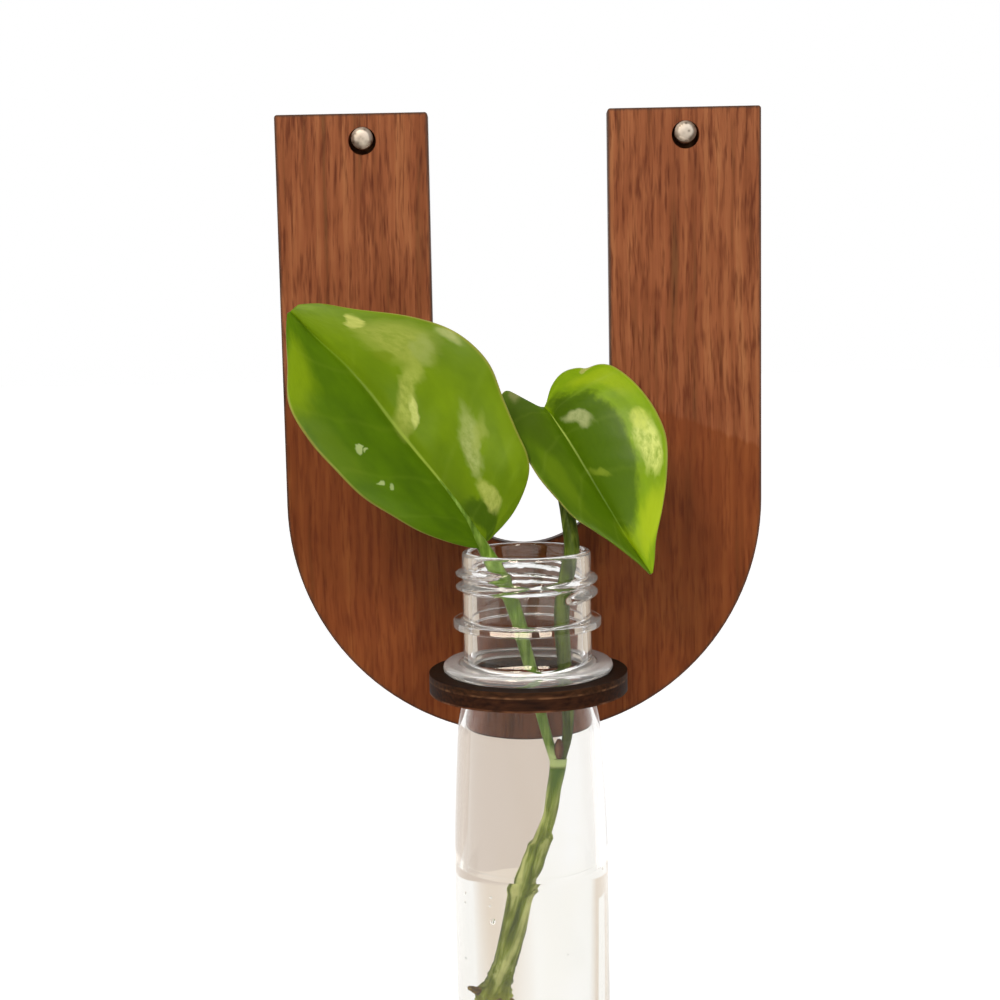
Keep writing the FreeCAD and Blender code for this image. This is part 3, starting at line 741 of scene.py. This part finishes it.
def leaf_blade(name, leaf, stations, relief, nick=0.0):
    columns, rows = 40, 72
    bpy.ops.mesh.primitive_grid_add(x_subdivisions=columns, y_subdivisions=rows, size=1.0)
    blade = name_piece(name)
    for vertex in blade.data.vertices:
        share, across = vertex.co.y + 0.5, vertex.co.x * 2
        # An old tear in the broad margin
        if across < 0:
            across *= 1 - nick * math.exp(-((share - NICK_PLACE) / NICK_WIDTH) ** 2)
        share = min(max(share, 0), 1)
        vertex.co = Vector(blade_place(leaf, stations, share, across, relief)) * MM
    edit_all(bpy.ops.mesh.normals_make_consistent, inside=False)
    outward = Vector(leaf_axes(leaf)[2])
    if sum((p.normal.dot(outward) for p in blade.data.polygons), 0.0) < 0:
        edit_all(bpy.ops.mesh.flip_normals)
    apply_modifier(blade, "SOLIDIFY", thickness=LEAF_THICKNESS * MM, offset=0.0,
                   use_even_offset=False, material_offset=1, material_offset_rim=1)
    apply_modifier(blade, "SUBSURF", levels=1, render_levels=1)
    smooth_shade(blade, 80)
    return blade


left_blade = leaf_blade("left_leaf_blade", left_leaf, left_leaf_stations, 0.12)
right_blade = leaf_blade("right_leaf_blade", right_leaf, right_leaf_stations, 0.08, nick=0.05)

# ---- Stalks and stem: (across, depth, height, thickness) as in the part's source. The first two
# are shares of the bore's radius, and the third is a share of the route's rise or drop. ----
LEFT_STALK = [
    (-0.776, -0.304, 1.0, 0.72), (-0.607, -0.24, -0.042, 0.9), (-0.435, -0.18, -0.13, 0.95),
    (-0.248, -0.12, -0.243, 0.9), (0.044, -0.01, -0.552, 0.74), (0.312, 0.01, -0.851, 0.6),
    (0.47, 0.01, -1.0, 0.6),
]
RIGHT_STALK = [
    (0.4, 0.93, 0.955, 0.55), (0.47, 0.935, 0.87, 0.7), (0.64, 0.64, 0.52, 0.85),
    (0.775, 0.29, 0.2, 0.94), (0.815, 0.12, -0.03, 1.0), (0.71, 0.06, -0.14, 1.0),
    (0.625, 0.06, -0.29, 1.0), (0.665, 0.06, -0.55, 0.95), (0.7, 0.05, -0.75, 0.8),
    (0.68, 0.04, -0.88, 0.64), (0.57, 0.03, -1.0, 0.6),
]
STEM = [
    (0.52, 0.02, 0.0, 0.98), (0.495, 0.02, 0.05, 0.9), (0.44, 0.02, 0.11, 0.85),
    (0.342, 0.025, 0.23, 0.8), (0.19, 0.035, 0.32, 0.96), (0.035, 0.05, 0.41, 1.07),
    (-0.118, 0.065, 0.495, 1.06), (-0.238, 0.085, 0.645, 1.03), (-0.372, 0.11, 0.8, 0.97),
    (-0.452, 0.125, 0.88, 1.1), (-0.512, 0.135, 0.925, 1.6), (-0.548, 0.14, 0.96, 1.3),
    (-0.575, 0.145, 1.0, 1.2),
]


def route(shares, radius, rise, drop, start=0.0):
    places, radii = [], []
    for across, depth, height, share in shares:
        reach = rise if height > 0 else drop
        places.append(from_mouth(across * BORE, depth * BORE, height * reach - start))
        radii.append(radius * share)
    return places, radii


left_places, left_radii = route(LEFT_STALK, 0.152 * BORE, 1.6, 42.4)
# The stalk runs on over the blade as its midrib, ever thinner
for share, radius in ((0.03, 1.15), (0.09, 1.0), (0.18, 0.72), (0.3, 0.46), (0.42, 0.3)):
    rib = blade_place(left_leaf, left_leaf_stations, share, 0.0, 0.0)
    left_places.insert(0, rib + leaf_axes(left_leaf)[2] * 0.1)
    left_radii.insert(0, radius)
left_stalk = rounded_rod("left_leaf_stalk_piece", left_places, left_radii)
right_places, right_radii = route(RIGHT_STALK, 0.147 * BORE, 27.0, 41.6)
right_stalk = rounded_rod("right_leaf_stalk_piece", right_places, right_radii)
stem_places, stem_radii = route([(a, d, -h, r) for a, d, h, r in STEM], 0.161 * BORE, 1.0, 51.0,
                                41.2)
stem = rounded_rod("main_stem_piece", stem_places, stem_radii, sides=24, follow=14)
# Warts swell on the node, ribs run down the stem, and it steps out at an old leaf scar
node_place = Vector(stem_places[10])
for vertex in stem.data.vertices:
    place = vertex.co / MM
    swell = ease(11.0, 2.0, (place - node_place).length)
    wart = noise.noise(place * 0.9) * 0.42 + noise.noise(place * 2.1) * 0.22
    rib = noise.noise(Vector((place.x * 1.6, place.y * 1.6, place.z * 0.12))) * 0.16
    below = ease(0.4, -0.4, place.z + 139.6 - 0.4 * (place.x - 0.8))
    step = (0.55 * below * ease(-149.5, -147.5, place.z)
            - 0.12 * (1 - below) * ease(-131.0, -138.0, place.z))
    push = vertex.normal * (wart * swell + rib * 0.6 + step)
    vertex.co = (place + push) * MM
for piece in (left_stalk, right_stalk, stem):
    smooth_shade(piece, 60)

# The old sheath: a papery brown strip that fills the fork, on the stem's pale collar
SHEATH = ((-122.9, 0.5), (-121.8, 0.9), (-120.7, 1.0), (-119.6, 0.8), (-118.6, 0.35))
sheath = rounded_rod("sheath", [(5.75, -23.5, height) for height, _ in SHEATH],
                     [radius for _, radius in SHEATH])
buds = []
for way, length in (((-0.93, -0.2, 0.28), 4.5), ((0.86, -0.35, -0.38), 4.6),
                    ((0.1, -0.96, -0.22), 4.4)):
    way = Vector(way).normalized()
    places = [node_place + way * length * share for share in (0.25, 0.5, 0.75, 0.92, 1.0)]
    buds.append(rounded_rod("bud", places, (0.95, 0.92, 0.72, 0.5, 0.18)))
root_buds = join("root_buds_piece", buds)
for vertex in root_buds.data.vertices:
    vertex.co += vertex.normal * noise.noise(vertex.co / MM * 1.7) * 0.16 * MM
smooth_shade(root_buds, 70)

# ---- Nails: a low domed head with a chequered face, over a plain shank ----
# (radius, distance out from the wall, rounding)
NAIL_CORNERS = ((0, -23.6, 0), (0.15, -23.6, 0), (1.2, -19.6, 0), (1.2, 0, 0), (2.2, 2.1, 0),
                (2.2, 3.2, 0.3), (1.5, 3.75, 0.8), (0, 3.95, 0))


def nail(side, x):
    head = turned(side + "_nail_piece", rounded_profile(NAIL_CORNERS, 5), 48, 0, 0)
    for vertex in head.data.vertices:
        px, py, pz = vertex.co
        vertex.co = Vector((x * MM + px, -pz, py))
    edit_all(bpy.ops.mesh.normals_make_consistent, inside=False)
    smooth_shade(head, 35)
    return head


nails = {side: nail(side, x) for side, x in NAILS.items()}

# ---- Finishes on their pieces ----
walnut = walnut_finish()
ring_top = ring_finish("dark_ply_top_ring", "#2c190b", "#472b17", "#80583a", SHELF_SEAM + 0.15)
ring_low = ring_finish("dark_ply_lower_ring", "#2c190b", "#3c200f", "#8a583c", SHELF_SEAM - 2.35)
for node, finish in (("back_plate", walnut), ("shelf_ring_upper", ring_top),
                     ("shelf_ring_lower", ring_low)):
    for material_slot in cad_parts[node].material_slots:
        material_slot.material = finish

left_wax = leaf_finish(
    # The folded half's darker green is painted shade
    "left_leaf_wax", "#527204", "#6e8a09", "#93a83c", 0.72,
    # The dark blotch near the rib's foot is painted shade; the pale ones are partly variegation
    # and partly painted highlight
    (
        (0.88, 0.787, 0.17, 0.11, -10, 0.9, 0.1, 0.9, "#769009"),
        (0.279, 0.835, 0.155, 0.067, 3, 0.7, 0.1, 0.9, "#708a0c"),
        (0.908, 0.582, 0.11, 0.09, 68, 0.6, 0.1, 0.9, "#5f7a0f"),
        (0.428, 0.329, 0.132, 0.067, -87, 0.6, 0.1, 0.9, "#5a7508"),
        (0.057, 0.352, 0.16, 0.046, -60, 0.7, 0.1, 0.8, "#728d0a"),
        (0.345, 0.13, 0.215, 0.066, 37, 0.95, 0.05, 0.5, "#3f5a04"),
        (0.19, 0.702, 0.139, 0.093, 7, 0.75, 0.45, 0.7, "#9ea74a"),
        (0.153, 0.796, 0.077, 0.019, -7, 0.9, 0.3, 0.6, "#b8be60"),
        (0.32, 0.693, 0.044, 0.019, -2, 0.8, 0.1, 0.7, "#6c8210"),
        (0.165, 0.644, 0.077, 0.03, -16, 0.7, 0.3, 0.7, "#8f9d50"),
        (0.368, 0.581, 0.163, 0.031, -27, 0.8, 0.5, 0.7, "#a4ae50"),
        (0.391, 0.545, 0.051, 0.012, -34, 0.9, 0.4, 0.6, "#c4cc74"),
        (0.028, 0.633, 0.042, 0.03, -17, 0.8, 0.3, 0.7, "#a8b06c"),
        (0.256, 0.388, 0.119, 0.047, -57, 0.8, 0.5, 0.6, "#a6b06a"),
        (0.182, 0.421, 0.069, 0.027, -36, 0.6, 0.3, 0.8, "#94a146"),
        (0.29, 0.209, 0.084, 0.054, 58, 0.85, 0.45, 0.6, "#b0b85c"),
        (0.781, 0.556, 0.024, 0.008, 5, 0.9, 0.1, 0.6, "#a8b878"),
        (0.759, 0.54, 0.018, 0.005, 7, 0.8, 0.1, 0.6, "#a8b878"),
        (0.837, 0.459, 0.024, 0.007, 7, 0.9, 0.1, 0.6, "#a8b878"),
        (0.808, 0.426, 0.021, 0.007, 0, 0.8, 0.1, 0.6, "#a8b878"),
    ))
right_wax = leaf_finish(
    # The folded half's darker green is painted shade
    "right_leaf_wax", "#54700a", "#80a00a", "#9cb04a", 0.58,
    # The dark greens over the middle and the folded lobe are painted shade; the pale ones, but for
    # the tan round the tear, are partly variegation and partly painted highlight
    (
        (0.1, 0.321, 0.149, 0.065, -56, 0.8, 0.1, 0.9, "#92aa10"),
        (0.165, 0.79, 0.241, 0.085, 14, 0.9, 0.1, 0.8, "#a0b61a"),
        (0.451, 0.772, 0.1, 0.078, -28, 0.7, 0.1, 0.9, "#849c0f"),
        (0.388, 0.455, 0.205, 0.32, 0, 1.0, 0.05, 0.25, "#476404"),
        (0.575, 0.651, 0.187, 0.077, 6, 0.8, 0.1, 0.8, "#476502"),
        (0.699, 0.335, 0.164, 0.107, 36, 0.8, 0.1, 0.9, "#476106"),
        (0.369, 0.163, 0.142, 0.112, 77, 0.7, 0.1, 0.8, "#3f5804"),
        (0.801, 0.227, 0.224, 0.145, -65, 0.8, 0.1, 0.9, "#435a0b"),
        (0.908, 0.156, 0.09, 0.051, -23, 0.7, 0.2, 0.8, "#898b54"),
        (0.81, 0.553, 0.127, 0.101, 32, 0.6, 0.1, 0.9, "#627c0d"),
        (0.362, 0.35, 0.104, 0.041, -49, 0.85, 0.3, 0.7, "#a8b078"),
        (0.426, 0.564, 0.061, 0.014, -30, 0.7, 0.2, 0.8, "#7f9327"),
        (0.106, 0.594, 0.082, 0.07, -38, 0.95, 0.7, 0.5, "#cbd672"),
        (0.098, 0.525, 0.059, 0.032, -15, 0.8, 0.6, 0.6, "#c0cc57"),
        (0.028, 0.246, 0.033, 0.018, 8, 0.8, 0.2, 0.5, "#a8a860"),
    ))
right_stalk.data.materials.append(stalk_finish("shaded_petiole_green", "#38480f", "#4c5e1a",
                                               "#6a7a2e"))
sheath.data.materials.append(stalk_finish("papery_sheath", "#4c2c1e", "#6b4030", "#8a5c44"))
right_stalk = join("right_leaf_stalk_piece", [right_stalk, sheath])
underside = underside_finish()
green_stalk = stalk_finish("petiole_green", "#54731c", "#6f9030", "#8aa648", banded=True)
green_stem = stalk_finish("stem_green", "#4a5e0a", "#86962e", "#ced384", lean=-14.0, width=1.2,
                          banded=True)
zinc = zinc_finish()

for piece, finishes, body, node, slot in (
    (tube, [pet_finish()], "tube", "tube", "clear_tube"),
    (water, [water_finish()], "tube", "water", "water"),
    (left_blade, [left_wax, underside], "cutting", "left_leaf", "leaf"),
    (right_blade, [right_wax, underside], "cutting", "right_leaf", "leaf"),
    (left_stalk, [green_stalk], "cutting", "left_leaf_stalk", "leaf_stalk"),
    (right_stalk, [], "cutting", "right_leaf_stalk", "leaf_stalk"),
    (stem, [green_stem], "cutting", "main_stem", "stem"),
    (root_buds, [bud_finish()], "cutting", "root_buds", "root"),
    (nails["left"], [zinc], "hanger", "left_nail", "nail_steel"),
    (nails["right"], [zinc], "hanger", "right_nail", "nail_steel"),
):
    for finish in finishes:
        piece.data.materials.append(finish)
    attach(piece, body)
    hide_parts(node)


# ---- Studio: pale floor below the hung vase, white surround, one soft key and a fill ----
plane = bpy.ops.mesh.primitive_plane_add
cylinder = bpy.ops.mesh.primitive_cylinder_add


def set_piece(name, finish, shape, spread=(1, 1), **settings):
    """A plain shape of the set, with its place and its spread in its mesh."""
    shape(**settings)
    piece = name_piece(name)
    piece.scale = (*spread, 1)
    settle(piece)
    piece.data.materials.append(finish)


def seen_by_eye(add):
    """1 for rays from the camera, from mirrors and through glass, 0 for the light that falls."""
    ray = add("LightPath")
    seen = add("Math", (ray.outputs["Is Camera Ray"], ray.outputs["Is Glossy Ray"]),
               operation="MAXIMUM")
    return add("Math", (seen, ray.outputs["Is Transmission Ray"]), operation="MAXIMUM")


def in_mirrors_only(add, share):
    """Keeps a share for rays that a surface mirrors and drops it for those that glass lets on."""
    ray = add("LightPath")
    mirrored = add("Math", (ray.outputs["Is Glossy Ray"], ray.outputs["Is Transmission Ray"]),
                   operation="SUBTRACT", use_clamp=True)
    return add("Math", (share, mirrored), operation="MULTIPLY")


def show_by_share(add, share, *shaders):
    """The surface shows the first shader, and the second one by the share."""
    mixed = add("MixShader", (share, *shaders))
    wire(mixed.id_data.nodes["Material Output"], {"Surface": mixed})


def shine_by_share(add, share, colour, strength=1.0):
    """The surface is clear, and shines in a colour by the share."""
    light = add("Emission", {"Color": colour, "Strength": strength})
    show_by_share(add, share, add("BsdfTransparent"), light)


# The floor lies far below the picture's edge
FLOOR_DROP = 0.45
finish, add, shader = new_finish("pale_floor", Roughness=0.9, Base_Color=linear("#f2f1ef"))
lift = add("Math", (seen_by_eye(add), 0.62), operation="MULTIPLY")
wire(shader, {"Emission Strength": lift, "Emission Color": (1, 1, 1, 1)})
set_piece("studio_floor", finish, plane, size=40.0, location=(0, 0, -FLOOR_DROP))

# What the nail holes look into is in the plate's own shade. Seen from the back it isn't there.
finish, add, shader = new_finish("wall_in_shade", Roughness=0.9, Specular_IOR_Level=0.0,
                                  Base_Color=linear("#4a3423"))
side_seen = add("NewGeometry")
show_by_share(add, side_seen.outputs["Backfacing"], shader, add("BsdfTransparent"))
UPRIGHT = (math.radians(90), 0, 0)
for side, x in NAILS.items():
    set_piece(side + "_hole_backing", finish, bpy.ops.mesh.primitive_circle_add, vertices=32,
              radius=3.3 * MM, fill_type="NGON", location=(x * MM, 0.35 * MM, -0.55 * MM),
              rotation=UPRIGHT)

# A warm card behind the tube that only glass and water show: beige on the left, cream on the right
finish, add, shader = new_finish("warm_card_glow")
x, _, z = add("SeparateXYZ", (add("TexCoord").outputs["Object"],)).outputs
# The beige ends along the stem's lean behind the air, and near the middle behind the water
border = add("Math", (z, 0.2284, 0.0358), operation="MULTIPLY_ADD")
off = add("Math", (x, border), operation="SUBTRACT")
air_share = add("MapRange", (off, -0.0006, 0.0006))
inner_share = add("MapRange", (x, -0.001, 0.0004))
outer_share = add("MapRange", (x, -0.018, -0.022))
either = add("Math", (inner_share, outer_share), operation="MAXIMUM")
# The water bends a narrow band of the left side across to its middle, but not near its surface
between = add("Math", (x, -0.0039, 0.0021), operation="COMPARE")
deep = add("Math", (z, -0.16), operation="LESS_THAN")
band = add("Math", (between, deep), operation="MULTIPLY")
water_share = add("Math", (either, band), operation="MAXIMUM")
low = add("MapRange", (z, -0.1545, -0.1552))
share = add("Mix", {0: low, 2: air_share, 3: water_share})
beige = add("MixRGB", (low, linear("#d6c8bb"), linear("#e6d9ca")))
glow = add("MixRGB", (share, beige, linear("#fffefb")))
shine_by_share(add, add("LightPath").outputs["Is Transmission Ray"], glow)
set_piece("warm_card", finish, plane, spread=(0.1, 0.144), size=1.0,
          location=(-0.03, 0.0012, -0.19), rotation=UPRIGHT)

# The room behind the camera is dim. Only reflections show it.
finish, add, shader = new_finish("dim_room")
_, y, _ = add("SeparateXYZ", (add("TexCoord").outputs["Object"],)).outputs
dim_share = add("MapRange", (y, 0.1, 0.6, 1.0, 0.0))
shine_by_share(add, in_mirrors_only(add, dim_share), linear("#5a4f44"))
set_piece("dim_room", finish, cylinder, vertices=48, radius=1.4, depth=4.2, end_fill_type="NGON",
          location=(0, 0, 1.66))

# Bright panes about the neck that only its own mirror reflections show: two low windows for the
# bead, and two lamps higher up for the thread: (bearing, half width, height, half height)
PANES = ((-0.447, 0.523, -0.1086, 0.00095), (0.431, 0.155, -0.1086, 0.00095),
         (-0.35, 0.12, -0.0635, 0.0115), (0.33, 0.12, -0.0635, 0.0115))
finish, add, shader = new_finish("neck_panes")
x, y, z = add("SeparateXYZ", (add("TexCoord").outputs["Object"],)).outputs
toward = add("Math", (TUBE_Y * MM, y), operation="SUBTRACT")
bearing = add("Math", (x, toward), operation="ARCTAN2")
lit = add("Value")
for middle, half, level, tall in PANES:
    wide = add("Math", (bearing, middle, half), operation="COMPARE")
    high = add("Math", (z, level, tall), operation="COMPARE")
    pane = add("Math", (wide, high), operation="MULTIPLY")
    lit = add("Math", (lit, pane), operation="ADD")
shine_by_share(add, in_mirrors_only(add, lit), linear("#fff6ea"), 16.0)
set_piece("neck_panes", finish, cylinder, vertices=96, radius=0.08, depth=0.064,
          end_fill_type="NOTHING", location=(0, TUBE_Y * MM, -0.082))

# Two warm strips beside the neck that only the glass picks up, at its edges and thread ends
STRIP_X, STRIP_SIZE = 0.0305, 0.029
finish, add, shader = new_finish("neck_strip_glow")
shine_by_share(add, add("LightPath").outputs["Is Transmission Ray"], linear("#c9bba9"))
for side, x in (("left", -STRIP_X), ("right", STRIP_X)):
    set_piece(side + "_neck_strip", finish, plane, spread=(STRIP_SIZE, STRIP_SIZE), size=1.0,
              location=(x, -0.0033, -0.0945), rotation=UPRIGHT)

world = bpy.data.worlds.new("studio_surround")
bpy.context.scene.world = world
world.use_nodes = True
add = partial(add_node, world.node_tree)
level = add("MapRange", (seen_by_eye(add), 0, 1, 0.45))
wire(world.node_tree.nodes["Background"], {"Color": (1, 1, 1, 1), "Strength": level})


def lamp(name, place, aim, size, power, colour="#ffffff"):
    bpy.ops.object.light_add(type="AREA", location=place)
    light = bpy.context.object
    light.name = name
    light.data.size = size
    light.data.energy = power
    light.data.color = linear(colour)[:3]
    light.rotation_euler = (Vector(aim) - Vector(place)).to_track_quat("-Z", "Y").to_euler()


lamp("key_softbox", (-0.3, -0.62, 0.5), (0, 0, -0.06), 0.22, 4.4, "#fff4e8")
lamp("fill_panel", (0.26, -0.66, 0.3), (0, 0, -0.1), 0.12, 1.5)

bpy.context.scene.view_settings.view_transform = "Standard"
